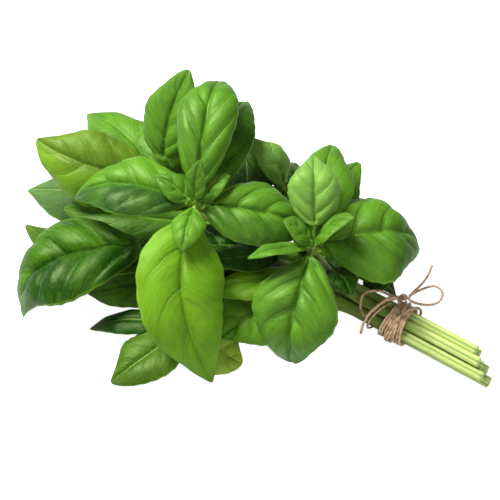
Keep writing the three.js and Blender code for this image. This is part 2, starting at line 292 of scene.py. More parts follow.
def grow_stem(sprig, joints):
    """A stem from its cut end to its growing point, swollen at the joints of its leaves."""
    name = sprig[0]
    cut, bend = stem_line(sprig)
    straight = (bend[0] - cut).length
    marks = [bezier(bend, i / STEM_MEASURE_STEPS) for i in range(STEM_MEASURE_STEPS + 1)]
    long = straight + sum((b - a).length for a, b in zip(marks, marks[1:]))
    chance = random.Random("stem " + name)
    turn = chance.uniform(0, 90)
    drift = Vector([chance.uniform(0, 100) for _ in range(3)])

    def place(round_share, along):
        row = round(along * STEM_ROWS)
        size, back = CAP_ROWS[row] if row < len(CAP_ROWS) else (1, 0)
        if row == STEM_ROWS:
            size = 0
        reach = max(0.0, (row - 3) / (STEM_ROWS - 3)) * long + back
        if reach < straight:
            bent, centre = 0.0, cut.lerp(bend[0], reach / straight)
        else:
            bent = (reach - straight) / (long - straight)
            centre = bezier(bend, bent)
        way = bezier_way(bend, bent)
        side = way.cross(UP).normalized()
        lift = side.cross(way)
        angle = 2 * math.pi * round_share
        radius = stem_radius(bent) * size * (1 + STEM_RIB_SHARE * math.cos(STEM_RIBS * angle))
        for joint in joints:
            away = (bent - joint) * (long - straight)
            radius *= 1 + JOINT_SWELLING * math.exp(-((away / JOINT_REACH) ** 2))
        radius *= 1 + STEM_UNEVEN_SHARE * noise.noise(centre * 0.05 + drift)
        angle += math.radians(turn)
        return centre + side * radius * math.cos(angle) + lift * radius * math.sin(angle)

    bm = bmesh.new()
    for face in rolled_grid(bm, STEM_SIDES, STEM_ROWS, place):
        if max(loop[bm.loops.layers.uv["shares"]].uv.y for loop in face.loops) < 2.5 / STEM_ROWS:
            face.material_index = 1
            face.smooth = False
    piece = finished(bm, "shoot_" + name, [STEM_SKIN, CUT_SKIN])
    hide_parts("stem_" + name)


# ---------------------------------------------------------------------------------------------
# Leaves. Each is one thin blade on a short round stalk that grows out of its stem. The blade is
# domed on both sides of a sunken midrib, puffed up between its arching side veins, thin at its
# wavy margin, and paler underneath, where the midrib and the veins stand out as ridges.
STALK_GAP = 1.1
STALK_HALF_WIDTH = 0.9
TIP_HALF_WIDTH = 0.4
BLADE_FULLNESS = 0.8
BLADE_BROAD_END = 0.8
BLADE_THICKNESS = 0.42
STALK_INTO_STEM = 0.8
HOOK_START = 0.6

# The relief of a blade: shares of its width, and depths and heights in millimetres.
PUFF_SHARE = 0.05
MARGIN_WAVE_SHARE = 0.022
MARGIN_RIPPLE_SHARE = 0.012
VEIN_FURROW = 0.38
MIDRIB_FURROW = 0.7
VEIN_RIDGE = 0.22
MIDRIB_RIDGE = 0.75
BLADE_WARP = 0.9

# Leaves wider than this get more faces and a fourth pair of side veins.
LARGE_LEAF_WIDTH = 24
LARGE_LEAF_STEPS = (18, 96)
SMALL_LEAF_STEPS = (12, 60)

# Rows this near to either end of a leaf, as a share, close it to a point.
POLE_SHARE = 1e-6

# Name, sprig, place along the bent part of its stem, tip, bow of the midrib, where that bow
# sits, roll in degrees, sideways sweep, stalk share, blade width, rise at the midrib, fall at
# the margin, how far the tip hooks down, and tone.
LEAVES = [
    ("a1", "a", 0.985, (-12.5, 38, 74), 20, 0.5, 0, 0, 0.07, 30.5, 28, 50, 10, "mid"),
    ("a2", "a", 0.97, (-82, -13, 48), 7, 0.5, -5, -2, 0.05, 40, 40, 45, 5, "fresh"),
    ("a3", "a", 0.97, (28, -31, 42), 6, 0.5, 16, 0, 0.05, 37, 32, 50, 5, "mid"),
    ("a4", "a", 0.94, (-17, -86, 0.8), 11, 0.45, -10, -13, 0.07, 43, 18, 32, 6, "bright"),
    ("a5", "a", 1, (-30, -55, 54), 3, 0.5, 0, 0, 0.1, 17, 25, 40, 2, "mid"),
    ("a6", "a", 1, (-22, -24, 81), 2, 0.5, 0, 0, 0.1, 11, 30, 30, 1, "mid"),
    ("a7", "a", 0.99, (-43, -21, 68), 2, 0.5, -10, 0, 0.1, 15, 30, 30, 2, "mid"),
    ("a8", "a", 0.96, (-9, -20, 68), 2, 0.5, 5, 0, 0.1, 13, 30, 30, 2, "mid"),
    ("a9", "a", 0.56, (-2, 42, 26), 4, 0.5, 0, 0, 0.12, 28, 20, 40, 4, "dark"),
    ("a10", "a", 0.8, (-2, 45.5, 58), 12, 0.5, 0, 0, 0.12, 27, 20, 40, 4, "deep"),
    ("a11", "a", 0.38, (-20, -38, 30), 1, 0.5, 0, 0, 0.1, 20, 10, 15, 2, "dark"),
    ("b1", "b", 1, (-28.5, 32, 88), 5, 0.5, 0, 2, 0.12, 31.5, 24, 35, 0, "mid"),
    ("b2", "b", 0.95, (-104, 25, 51), 8, 0.5, -40, 5, 0.12, 40, 14, 45, 3, "yellow"),
    ("b3", "b", 0.84, (-84, 63.5, 34.5), 8, 0.5, 0, 0, 0.12, 34, 25, 45, 6, "mid"),
    ("b4", "b", 0.7, (-113, 29, 14), 6, 0.5, -15, 0, 0.12, 45, 20, 45, 2, "cool"),
    ("b5", "b", 0.62, (-91, 4, 25), 3.3, 0.5, -20, 2, 0.16, 33, 28, 45, 3, "mid"),
    ("b6", "b", 0.9, (-46, 56, 40), 8, 0.5, 0, 0, 0.12, 32, 25, 40, 4, "mid"),
    ("c1", "c", 1, (-107.5, -45.5, 0.8), 16, 0.75, 0, -7, 0.1, 57, 36, 45, 4, "deep"),
    ("c2", "c", 0.8, (-113, 13.5, 4.5), 1, 0.5, 0, 14, 0.14, 24, 20, 35, 0, "olive"),
    ("c3", "c", 0.7, (-78.4, -30.5, 0.8), 4, 0.5, -10, 5, 0.14, 27, 20, 45, 3, "mid"),
    ("d1", "d", 1, (-75, -56, 4), 4, 0.5, 0, 0, 0.12, 17, 20, 45, 2, "dark"),
    ("d2", "d", 0.95, (-63.5, -86, 0.6), 4, 0.5, 0, 3, 0.14, 30.5, 28, 40, 2, "olive"),
    ("d3", "d", 0.86, (-3.6, -75.5, 1.4), 1, 0.5, 0, -4, 0.1, 31, 20, 30, 1, "young"),
    ("d4", "k", 0.42, (-36, -15, 15), 2, 0.5, 6, 0, 0.16, 37, 5, 8, 2, "dark"),
    ("d5", "c", 0.3, (-13, -66, 9.5), 3, 0.5, -20, 0, 0.25, 37, 25, 40, 3, "fresh"),
    ("g1", "g", 0.97, (19.5, -74, 0.8), 16, 0.5, 0, 0, 0.06, 41, 28, 38, 11, "mid"),
    ("g2", "g", 0.95, (79, -28, 31), 10, 0.5, 15, 0, 0.06, 52, 24, 50, 8, "mid"),
    ("g3", "g", 0.97, (29, -11.5, 72.5), 7, 0.5, 0, 0, 0.2, 26, 28, 45, 10, "pale"),
    ("g4", "g", 0.92, (39, 9.5, 60.5), 7, 0.5, 0, 0, 0.12, 30, 28, 45, 6, "mid"),
    ("g5", "h", 0.45, (52.5, 12, 47.5), 7, 0.5, 0, 0, 0.12, 28, 25, 45, 5, "mid"),
    ("g6", "g", 0.99, (-1, -59, 53.5), 2, 0.5, 20, 0, 0.1, 15, 25, 30, 1, "mid"),
    ("g7", "g", 1, (46, -47, 67), 3, 0.5, -10, 0, 0.1, 20, 25, 30, 1, "mid"),
    ("g8", "g", 1, (15, -41, 60), 2, 0.5, 0, 0, 0.1, 15, 25, 30, 1, "mid"),
    ("g9", "g", 0.37, (-22, -48, 19), 4, 0.5, 5, 0, 0.12, 27, 28, 45, 4, "bright"),
    ("g10", "g", 0.5, (46, -60, 31), 5, 0.5, 0, 0, 0.1, 22, 15, 20, 2, "dark"),
    ("h1", "h", 0.97, (-2.5, 24, 52), 10, 0.5, -10, -2, 0.12, 17, 20, 40, 2, "pale"),
    ("h2", "h", 0.45, (69.5, -37, 6), 6, 0.5, -20, 0, 0.1, 28, 20, 40, 3, "dark"),
    ("h3", "h", 0.8, (28, 56, 0.8), 10, 0.5, 0, 0, 0.2, 34, 20, 40, 3, "deep"),
    ("k1", "k", 1, (-98, 52, 0.6), 10, 0.5, 0, 0, 0.12, 36, 20, 40, 3, "mid"),
    ("k2", "k", 0.97, (-45, 68, 0.6), 10, 0.5, 0, 0, 0.12, 36, 20, 40, 3, "mid"),
    ("k3", "k", 0.9, (-20, 58, 26), 8, 0.5, 0, 0, 0.12, 32, 20, 40, 3, "deep"),
    ("k4", "k", 0.55, (-8, 64, 0.6), 7, 0.5, 0, 0, 0.2, 34, 20, 40, 3, "dark"),
]

# Small young leaves low in the heads, in the same columns, that the main leaves half hide. Their
# deep and shaded tones are painted shade in the gaps between the heads. They have no solids of
# their own.
SMALL_LEAVES = [
    ("s1", "b", 1, (-27, 8, 39), 2, 0.5, 0, 0, 0.1, 12, 25, 35, 1, "mid"),
    ("s2", "a", 0.88, (-42, -14, 44), 2, 0.5, 0, 0, 0.1, 12, 25, 35, 1, "deep"),
    ("s3", "h", 0.97, (-4, 41, 38), 4, 0.5, 0, 0, 0.12, 16, 20, 35, 2, "deep"),
    ("s4", "h", 1, (10, 15, 24), 2, 0.5, 0, 0, 0.1, 11, 25, 35, 1, "mid"),
    ("s5", "h", 0.93, (23, -3, 34), 2, 0.5, 0, 0, 0.1, 13, 25, 35, 1, "deep"),
    ("s6", "g", 0.86, (13, -42, 37), 2, 0.5, 0, 0, 0.1, 12, 25, 35, 1, "deep"),
    ("s7", "d", 0.75, (-5, -8, 4), 2, 0.5, 0, 0, 0.12, 20, 15, 25, 1, "dark"),
    ("s8", "c", 0.97, (-54, -18, 21), 2, 0.5, 0, 0, 0.1, 12, 25, 35, 1, "deep"),
    ("s10", "d", 0.45, (11, -12, 5), 2, 0.5, 0, 0, 0.12, 16, 15, 25, 1, "dark"),
    ("s11", "g", 0.88, (25, -55, 38), 1, 0.5, 0, 0, 0.1, 12, 25, 35, 1, "deep"),
    ("s12", "g", 0.9, (23, -40, 42), 2, 0.5, 0, 0, 0.1, 12, 25, 35, 1, "deep"),
    ("s13", "h", 0.08, (68, -35, 17), 2, 0.5, 0, 0, 0.1, 16, 20, 35, 1, "dark"),
]

# How bright, how yellow and how grey a leaf is. "shaded" is painted shade, for leaves that lie
# in the shadow of others; "deep" is partly the leaf's own dark green and partly painted shade;
# "young" is partly the leaf's own yellow green and partly painted light for a leaf lying in shade.
TONES = {
    "dark": (0.0, 0.0, 0.0),
    "deep": (0.25, 0.0, 0.0),
    "mid": (0.6, 0.0, 0.05),
    "bright": (0.85, 0.1, 0.0),
    "yellow": (0.15, 0.2, 0.0),
    "olive": (0.12, 0.1, 0.0),
    "young": (1.0, 0.7, 0.1),
    "fresh": (0.75, 0.0, 0.05),
    "cool": (0.1, 0.0, 0.15),
    "pale": (1.0, 0.1, 0.25),
}

BLADE_DEEP = (10, 60, 0)
BLADE_BRIGHT = (96, 152, 16)
BLADE_YELLOW = (170, 200, 60)
BLADE_GREY = (140, 176, 120)
BLADE_VEIN = (134, 184, 56)
BLADE_STALK = (136, 178, 66)
UNDER_DEEP = (80, 122, 50)
UNDER_BRIGHT = (124, 160, 78)
UNDER_VEIN = (164, 188, 116)


def leaf_pattern():
    """The masks of a blade: midrib, side veins, stalk, broad patches, the net of fine veins, the
    distance to the margin, streaks along the veins, and the painted shade in its creases. The vein
    map holds the vein count and the share across; the blade map holds the distance across in
    millimetres and the share along."""
    group = bpy.data.node_groups.new("leaf pattern", "ShaderNodeTree")
    for name in ("Midrib", "Side veins", "Stalk", "Patches", "Net", "Edge", "Streaks", "Crease shade"):
        group.interface.new_socket(name, in_out="OUTPUT", socket_type="NodeSocketFloat")
    out = group.nodes.new("NodeGroupOutput")
    veins = wire(group, "ShaderNodeUVMap", uv_map="veins").outputs[0]
    count, across, _ = wire(group, "ShaderNodeSeparateXYZ", {0: veins}).outputs
    blade = wire(group, "ShaderNodeUVMap", uv_map="blade").outputs[0]
    width, along, _ = wire(group, "ShaderNodeSeparateXYZ", {0: blade}).outputs
    place = wire(group, "ShaderNodeTexCoord").outputs["Object"]

    wander = wire(group, "ShaderNodeTexNoise", {"Vector": place, "Scale": 260, "Detail": 1}).outputs[0]
    shifted = sums(group, "MULTIPLY_ADD", wander, 0.12, count)
    beside = sums(group, "PINGPONG", shifted, 0.5)
    reach = sums(group, "ABSOLUTE", across)
    fade = ramp(group, reach, 0.4, 0.85, 1, 0)
    tip_fade = ramp(group, along, 0.8, 0.97, 1, 0)
    base_fade = ramp(group, along, 0.0, 0.06)
    side = sums(group, "MULTIPLY", ramp(group, beside, 0.015, 0.055, 1, 0), fade)
    side = sums(group, "MULTIPLY", side, sums(group, "MULTIPLY", tip_fade, base_fade))
    rib_width = ramp(group, along, 0.0, 1.0, 0.75, 0.3)
    rib = ramp(group, sums(group, "DIVIDE", sums(group, "ABSOLUTE", width), rib_width), 0.5, 1.0, 1, 0)
    stalk = ramp(group, along, 0.04, -0.02)
    inner = ramp(group, reach, 0.3, 0.9, 1, 0)
    valley = sums(group, "MULTIPLY", ramp(group, beside, 0.02, 0.2, 1, 0), inner)
    middle = ramp(group, sums(group, "ABSOLUTE", width), 0.6, 3.2, 1, 0)
    crease_shade = sums(group, "MULTIPLY", sums(group, "MAXIMUM", valley, middle), tip_fade)
    patches = wire(group, "ShaderNodeTexNoise", {"Vector": place, "Scale": 60, "Detail": 3}).outputs[0]
    cells = wire(
        group, "ShaderNodeTexVoronoi", {"Vector": place, "Scale": 700}, feature="SMOOTH_F1"
    ).outputs[0]
    grain = wire(group, "ShaderNodeMapping", {0: veins, 3: (13, 3, 1)}).outputs[0]
    streaks = wire(group, "ShaderNodeTexNoise", {"Vector": grain, "Scale": 1.0, "Detail": 4}).outputs[0]
    links = [rib, side, stalk, patches, cells, reach, streaks, crease_shade]
    for socket, value in zip(out.inputs, links):
        group.links.new(value, socket)
    return group


LEAF_PATTERN = leaf_pattern()


def blade_material(name, deep, bright, vein, roughness, vein_share, net_depth, crease_shade):
    """One side of a blade: deep to bright green by the leaf's tone, with its veins and net, painted
    shade in its creases and a painted highlight along its margin.
    """
    made, tree, shader = material(name)
    masks = wire(tree, "ShaderNodeGroup", node_tree=LEAF_PATTERN).outputs
    tone = wire(tree, "ShaderNodeAttribute", attribute_name="tone").outputs["Color"]
    bright_share, yellow_share, grey_share = wire(tree, "ShaderNodeSeparateColor", {0: tone}).outputs
    patch = ramp(tree, masks["Patches"], 0.3, 0.7, -0.16, 0.14)
    streak = ramp(tree, masks["Streaks"], 0.3, 0.7, -0.1, 0.12)
    lit = sums(tree, "ADD", bright_share, sums(tree, "ADD", patch, streak))
    # Painted shade: the blade is darkened in the creases along its midrib and side veins.
    lit = sums(tree, "MULTIPLY_ADD", masks["Crease shade"], -crease_shade, lit)
    lit = wire(tree, "ShaderNodeClamp", {0: lit}).outputs[0]
    colour = mix_paint(tree, lit, deep, bright)
    colour = mix_paint(tree, yellow_share, colour, BLADE_YELLOW)
    colour = mix_paint(tree, grey_share, colour, BLADE_GREY)
    net = ramp(tree, masks["Net"], 0.25, 0.7)
    colour = mix_paint(tree, sums(tree, "MULTIPLY", net, 0.05), colour, vein)
    colour = mix_paint(tree, sums(tree, "MULTIPLY", masks["Side veins"], vein_share), colour, vein)
    colour = mix_paint(tree, sums(tree, "MULTIPLY", masks["Midrib"], vein_share + 0.3), colour, vein)
    # Painted highlight: a pale rim along the margin of the blade.
    colour = mix_paint(tree, ramp(tree, masks["Edge"], 0.94, 0.985, 0, 0.6), colour, vein)
    colour = mix_paint(tree, masks["Stalk"], colour, BLADE_STALK)
    tree.links.new(colour, shader.inputs["Base Color"])
    rough = ramp(tree, masks["Patches"], 0.3, 0.7, roughness - 0.05, roughness + 0.06)
    tree.links.new(rough, shader.inputs["Roughness"])
    height = sums(tree, "SUBTRACT", sums(tree, "MULTIPLY", masks["Net"], -net_depth), masks["Side veins"])
    height = sums(tree, "ADD", height, masks["Streaks"])
    bump = wire(tree, "ShaderNodeBump", {"Strength": 0.6, "Distance": 0.0003, "Height": height})
    tree.links.new(bump.outputs[0], shader.inputs["Normal"])
    shader.inputs["Specular IOR Level"].default_value = 0.36
    shader.inputs["Specular Tint"].default_value = (0.75, 1.0, 0.4, 1)
    shader.inputs["Subsurface Weight"].default_value = 0.1
    shader.inputs["Subsurface Radius"].default_value = (0.5, 1.0, 0.2)
    shader.inputs["Subsurface Scale"].default_value = 0.001
    return made


LEAF_TOP = blade_material(
    "leaf top", BLADE_DEEP, BLADE_BRIGHT, BLADE_VEIN,
    roughness=0.45, vein_share=0.1, net_depth=0.4, crease_shade=0.12,
)
LEAF_UNDER = blade_material(
    "leaf underside", UNDER_DEEP, UNDER_BRIGHT, UNDER_VEIN,
    roughness=0.6, vein_share=0.6, net_depth=-0.8, crease_shade=0.0,
)


def half_width(along, stalk, width):
    """Half the leaf's width: the blade swells from its stalk and comes to a point."""
    blade = min(1.0, max(0.0, (along - stalk) / (1 - stalk)))
    narrow = STALK_HALF_WIDTH + (TIP_HALF_WIDTH - STALK_HALF_WIDTH) * along
    swell = max(0.0, math.sin(math.pi * blade**BLADE_BROAD_END)) ** BLADE_FULLNESS
    return narrow + (width / 2 - narrow) * swell


def rib_spot(rib, along):
    """A point of a midrib, which is a curve with a hooked end, and the way the midrib runs."""
    points, hook = rib
    end = max(0.0, (along - HOOK_START) / (1 - HOOK_START))
    run = bezier([b - a for a, b in zip(points, points[1:])], along) * 2
    run -= hook * (2 * end / (1 - HOOK_START))
    return bezier(points, along) - hook * end * end, run.normalized()


def grow_blade(
    bm, rib, side, stalk, width, rise, fall, tone, pairs, steps, chance,
    reflection_tip=0.0, painted_shade_half=0.0, puffed=1.0,
):
    """One leaf in bm. rib is its midrib, side the way its width runs, pairs its side veins, and
    steps its faces across and along."""
    across_steps, along_steps = steps
    vein_map = bm.loops.layers.uv.get("veins") or bm.loops.layers.uv.new("veins")
    blade_map = bm.loops.layers.uv.get("blade") or bm.loops.layers.uv.new("blade")
    tones = bm.verts.layers.float_color.get("tone") or bm.verts.layers.float_color.new("tone")
    lift, turn = math.radians(rise), math.radians(rise + fall)
    long = (rib[0][2] - rib[0][0]).length * (1 - stalk)
    offset = {1: chance.uniform(-0.15, 0.15), -1: chance.uniform(0.2, 0.5)}
    lead = chance.uniform(0.14, 0.2)
    wave = {s: (chance.uniform(0, 2 * math.pi), chance.uniform(1.6, 2.8)) for s in (1, -1)}
    drift = Vector([chance.uniform(0, 100) for _ in range(3)])
    puff = PUFF_SHARE * width * puffed

    def spot(round_share, along_share):
        """Share across, share along the whole leaf, and share along its blade."""
        top = round_share < 0.5
        c = 4 * round_share - 1 if top else 3 - 4 * round_share
        across = 0.7 * c + 0.3 * math.sin(math.pi * c / 2)
        along = along_share - 0.45 * math.sin(2 * math.pi * along_share) / (2 * math.pi)
        return across, along, (along - stalk) / (1 - stalk), top

    def vein_count(across, blade, hand):
        reach = abs(across)
        return pairs * (blade - lead * reach - lead * reach * reach) + offset[hand]

    def place(round_share, along_share):
        across, along, blade, top = spot(round_share, along_share)
        centre, way = rib_spot(rib, along)
        if min(along_share, 1 - along_share) <= POLE_SHARE:
            return centre
        hand = 1 if across >= 0 else -1
        reach = abs(across)
        half = half_width(along, stalk, width)
        flesh = smoothstep(-0.02, 0.08, blade)
        ripple = math.sin(2 * math.pi * (2.2 * pairs * blade + wave[hand][0]))
        half *= 1 + MARGIN_RIPPLE_SHARE * ripple * flesh
        slope = lift - turn * reach
        out = half * (math.sin(lift) - math.sin(slope)) / turn
        up = half * (math.cos(slope) - math.cos(lift)) / turn

        count = vein_count(across, blade, hand)
        beside = abs(count - round(count)) / pairs * long
        open_share = smoothstep(0.0, 0.12, blade) * max(0.0, 1 - blade) ** 0.6
        bell = min(1.0, reach / 0.16) ** 0.7 * (1 - reach**2.5)
        height = puff * open_share * bell * abs(math.sin(math.pi * count)) ** 0.75
        groove = math.exp(-((beside / 0.5) ** 2))
        height -= VEIN_FURROW * puffed * open_share * groove * (1 - reach**1.5)
        height -= MIDRIB_FURROW * open_share * math.exp(-((reach * half / 0.7) ** 2))
        phase, waves = wave[hand]
        wave_height = math.sin(2 * math.pi * waves * blade + phase)
        height += MARGIN_WAVE_SHARE * width * flesh * reach**3 * wave_height

        wide = (side - way * side.dot(way)).normalized()
        face = way.cross(wide)
        warp = noise.noise(centre * 0.07 + drift + wide * across)
        height += BLADE_WARP * flesh * (0.3 + 0.7 * reach) * warp

        skin = BLADE_THICKNESS / 2 * math.sqrt(max(0.0, 1 - reach**6))
        round_half = half * math.sqrt(max(0.0, 1 - reach**2))
        if top:
            through = flesh * skin + (1 - flesh) * 0.7 * round_half
        else:
            near_rib = math.exp(-((reach * half / 0.8) ** 2))
            ridge = MIDRIB_RIDGE * near_rib * max(0.0, 1 - blade) ** 0.6 * (1 - reach**2)
            ridge += VEIN_RIDGE * open_share * groove * (1 - reach**2)
            through = -flesh * (skin + ridge) - (1 - flesh) * round_half
        through += height
        return (
            centre
            + wide * (hand * (out - through * math.sin(slope) * flesh))
            + face * (up + through * (math.cos(slope) * flesh + 1 - flesh))
        )

    spots = {}
    grid = bmesh.ops.create_grid(bm, x_segments=4 * across_steps, y_segments=along_steps, size=0.5)
    made = grid["verts"]
    for vert in made:
        spots[vert] = (vert.co.x + 0.5, vert.co.y + 0.5)
    for face in {face for vert in made for face in vert.link_faces}:
        face.smooth = True
        middle = sum(spots[vert][0] for vert in face.verts) / len(face.verts)
        face.material_index = 0 if middle < 0.5 else 1
        hand = 1 if spot(middle, 0.5)[0] >= 0 else -1
        for loop in face.loops:
            across, along, blade, _ = spot(*spots[loop.vert])
            loop[vein_map].uv = (vein_count(across, blade, hand), across)
            loop[blade_map].uv = (across * half_width(along, stalk, width), blade)
    bright, yellow, grey = tone
    for vert in made:
        across, along, blade, _ = spot(*spots[vert])
        # Painted reflection: the tip of the blade greys as if it mirrored the white table.
        grey_and_reflection = grey + reflection_tip * smoothstep(0.65, 1.0, blade)
        # Painted shade darkens the half of the blade towards -Y; a share below zero lightens it instead,
        # as painted light.
        front = max(0.0, -across * math.copysign(1, side.y))
        lit = max(0.0, bright - painted_shade_half * smoothstep(0, 0.4, front))
        vert[tones] = (lit, yellow, min(1.0, grey_and_reflection), 1)
        vert.co = (place(*spots[vert]) + LAYOUT_SHIFT) * MM


def leaf_rib(row):
    """The midrib, and the way the leaf's width runs."""
    _, sprig_name, at, tip, bow, lean, roll, sweep, *_, hook, _ = row
    _, bend = stem_line(next(sprig for sprig in SPRIGS if sprig[0] == sprig_name))
    stem, tip = bezier(bend, at), Vector(tip)
    stem_way = bezier_way(bend, at)
    outward = tip - stem
    outward = (outward - stem_way * outward.dot(stem_way)).normalized()
    root = stem + outward * (stem_radius(at) + STALK_GAP)
    chord = tip - root
    way = chord.normalized()
    face = Quaternion(way, math.radians(roll)) @ (UP - way * way.z).normalized()
    side = face.cross(way)
    knee = root + chord * lean + face * 2 * bow + side * 2 * sweep
    root -= outward * (STALK_GAP + STALK_INTO_STEM)
    return ([root, knee, tip + face * hook], face * hook), side


# Painted shade: how much darker the half of a blade towards -Y is than the rest, as if that
# half hung in shade; below zero, it is lighter, a painted light.
PAINTED_SHADE_HALF = {"a2": 0.65, "a3": 0.2, "b2": -0.5, "c1": 0.3, "g2": 0.15, "b5": 0.2}

# How far a blade is puffed up between its veins, where it isn't 1. Those at 0.3 and less lie
# close to a neighbour.
PUFFED = {
    "a1": 1.3, "a3": 1.2, "a4": 0.6, "b1": 0.7, "b2": 0.7, "c1": 1.3, "g1": 1.4, "b3": 0.3,
    "b6": 0.2, "b4": 0.1, "b5": 0.2, "d1": 0.1, "d2": 0.3, "a9": 0.3, "g4": 0.3,
}

# How much greyer a blade gets towards its tip: a painted reflection of the white table, where
# the tip curls down towards it.
TABLE_REFLECTION_TIPS = {"c1": 0.5, "g1": 0.25, "b4": 0.1, "d1": 0.4}

for row in LEAVES + SMALL_LEAVES:
    name, stalk, width, rise, fall, tone = row[0], *row[8:12], row[13]
    rib, side = leaf_rib(row)
    large = width > LARGE_LEAF_WIDTH
    steps = LARGE_LEAF_STEPS if large else SMALL_LEAF_STEPS
    pairs = 4 if large else 3
    bm = bmesh.new()
    grow_blade(
        bm, rib, side, stalk, width, rise, fall, TONES[tone], pairs, steps,
        random.Random("leaf " + name), reflection_tip=TABLE_REFLECTION_TIPS.get(name, 0.0),
        painted_shade_half=PAINTED_SHADE_HALF.get(name, 0.0), puffed=PUFFED.get(name, 1.0),
    )
    piece = finished(bm, "blade_" + name, [LEAF_TOP, LEAF_UNDER])
    if row in LEAVES:
        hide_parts("leaf_" + name)

for sprig in SPRIGS:
    grow_stem(sprig, sorted({row[2] for row in LEAVES + SMALL_LEAVES if row[1] == sprig[0]}))

# ---------------------------------------------------------------------------------------------
# Growing points. The top of each sprig is a tight cluster of unopened leaves in crossed pairs,
# the inner ones still closed over the tip.

# Each pair from the inside out: length, how far it opens in degrees, and its gap from the middle.
BUD_PAIRS = [(4.4, 10, 0.3), (6.8, 30, 0.3), (9, 50, 0.2), (10.5, 68, 0.1)]
BUD_STALK = 0.1
BUD_WIDTH_SHARE = 0.5
BUD_RISE = 10
BUD_FALL = 55
BUD_VEIN_PAIRS = 3
BUD_STEPS = (5, 18)

for sprig in SPRIGS:
    name = sprig[0]
    _, bend = stem_line(sprig)
    head, way = bend[3], bezier_way(bend, 1)
    chance = random.Random("bud " + name)
    first = way.orthogonal().normalized()
    turn = chance.uniform(0, 360)
    bm = bmesh.new()
    for pair, (long, open_angle, gap) in enumerate(BUD_PAIRS):
        for half_turn in (0, 180):
            spin = Quaternion(way, math.radians(turn + 90 * pair + half_turn + chance.uniform(-9, 9)))
            outward = spin @ first
            lean = math.radians(open_angle + chance.uniform(-4, 4))
            run = way * math.cos(lean) + outward * math.sin(lean)
            inner = way * math.sin(lean) - outward * math.cos(lean)
            root = head - way * (0.6 + 0.5 * pair) + outward * (0.5 + gap * pair)
            tip = root + run * long * chance.uniform(0.92, 1.08)
            knee = root.lerp(tip, 0.5) - inner * 0.22 * long
            tone = (0.9, 0.3 - 0.08 * pair, 0.05)
            rib = ([root, knee, tip], Vector())
            grow_blade(
                bm, rib, inner.cross(run), BUD_STALK, BUD_WIDTH_SHARE * long, BUD_RISE, BUD_FALL,
                tone, BUD_VEIN_PAIRS, BUD_STEPS, chance,
            )
    piece = finished(bm, "tip_" + name, [LEAF_TOP, LEAF_UNDER])
    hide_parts("bud_" + name)

# ---------------------------------------------------------------------------------------------
# Twine. Rough jute of three twisted plies with loose fibres. It goes round the bundle in a band
# that is pulled tight under the knot and fans out below, and its two ends are tied in a bow.
TWINE_DIAMETER = 1.2
TWINE_PLIES = 3
TWIST_LENGTH = 3.8
TWINE_SIDES = 15
TWINE_STEP = 0.34
WRAP_TURNS = 8
WRAP_PITCH = 1.5
WRAP_RADIUS = 9
KNOT_ANGLE = 65
KNOT_HALF = (3, 2, 1.7)
KNOT_GAP = 0.35
KNOT_PAST_TIE = -3
KNOT_STEPS = 96
LOOSE_STEPS = 79
LOOSE_DIAMETER = 1.0

# How many loose fibres are tried on each length of twine, how long they get, how many rows of the
# strand count as its end, and how far above the table a fibre has to stay, in millimetres.
FIBRES_ON_BOW = 80
FIBRES_ON_END = 30
FIBRES_ON_BAND = 320
FIBRES_ON_TURN = 50
FIBRES_ON_KNOT = 40
FIBRE_LENGTH = 2.4
END_FIBRE_LENGTH = 2.2
END_ROWS = 12
FIBRE_CLEARANCE = 0.1

# The bows as points round the middle of the knot, as in the solids.
BOW_RIGHT = [
    (3.5, 0.6, 0.3), (5.6, 2, 0.6), (9.2, 4, 1), (13.3, 5.8, 1.2), (16.1, 6.4, 1), (18.5, 5.2, 0.4),
    (19.6, 3.2, -0.6), (18.5, 0.4, -1.9), (16, -1.2, -2.7), (12, -1.8, -2.9), (8, -1.6, -2.3),
    (4.8, -1.4, -0.9), (3.4, -1.6, 1), (4.2, -0.8, 2.8), (7.7, 2.8, 3.7), (10.6, 6, 4.4),
    (13.2, 10, 5.5), (15.2, 14.6, 6.8),
]
BOW_LEFT = [
    (-3.5, 0.6, 0.4), (-5.4, 1, 0.8), (-8, 2.2, 1.4), (-11.6, 2.9, 1.8), (-15.2, 2.4, 1.4),
    (-17.8, 0.8, 0.6), (-18.8, -2.2, -1.1), (-18.6, -5, -3), (-17.1, -6.9, -4.4), (-14.4, -6.2, -3),
    (-10.8, -4, -1), (-6.6, -1.6, 0.2), (-3.6, -1.6, 0.6), (-2.6, -2.4, 2.2), (-5, -2.4, 3.1),
    (-8.6, -4, 1.9), (-12.6, -6.6, -0.2), (-15.2, -8.4, -1.9), (-17, -10.4, -4.1),
    (-18, -11.6, -5.8), (-19, -14, -9.3),
]

TWINE_TAN = (230, 194, 152)
TWINE_BROWN = (162, 116, 86)
TWINE_LIGHT = (234, 212, 176)


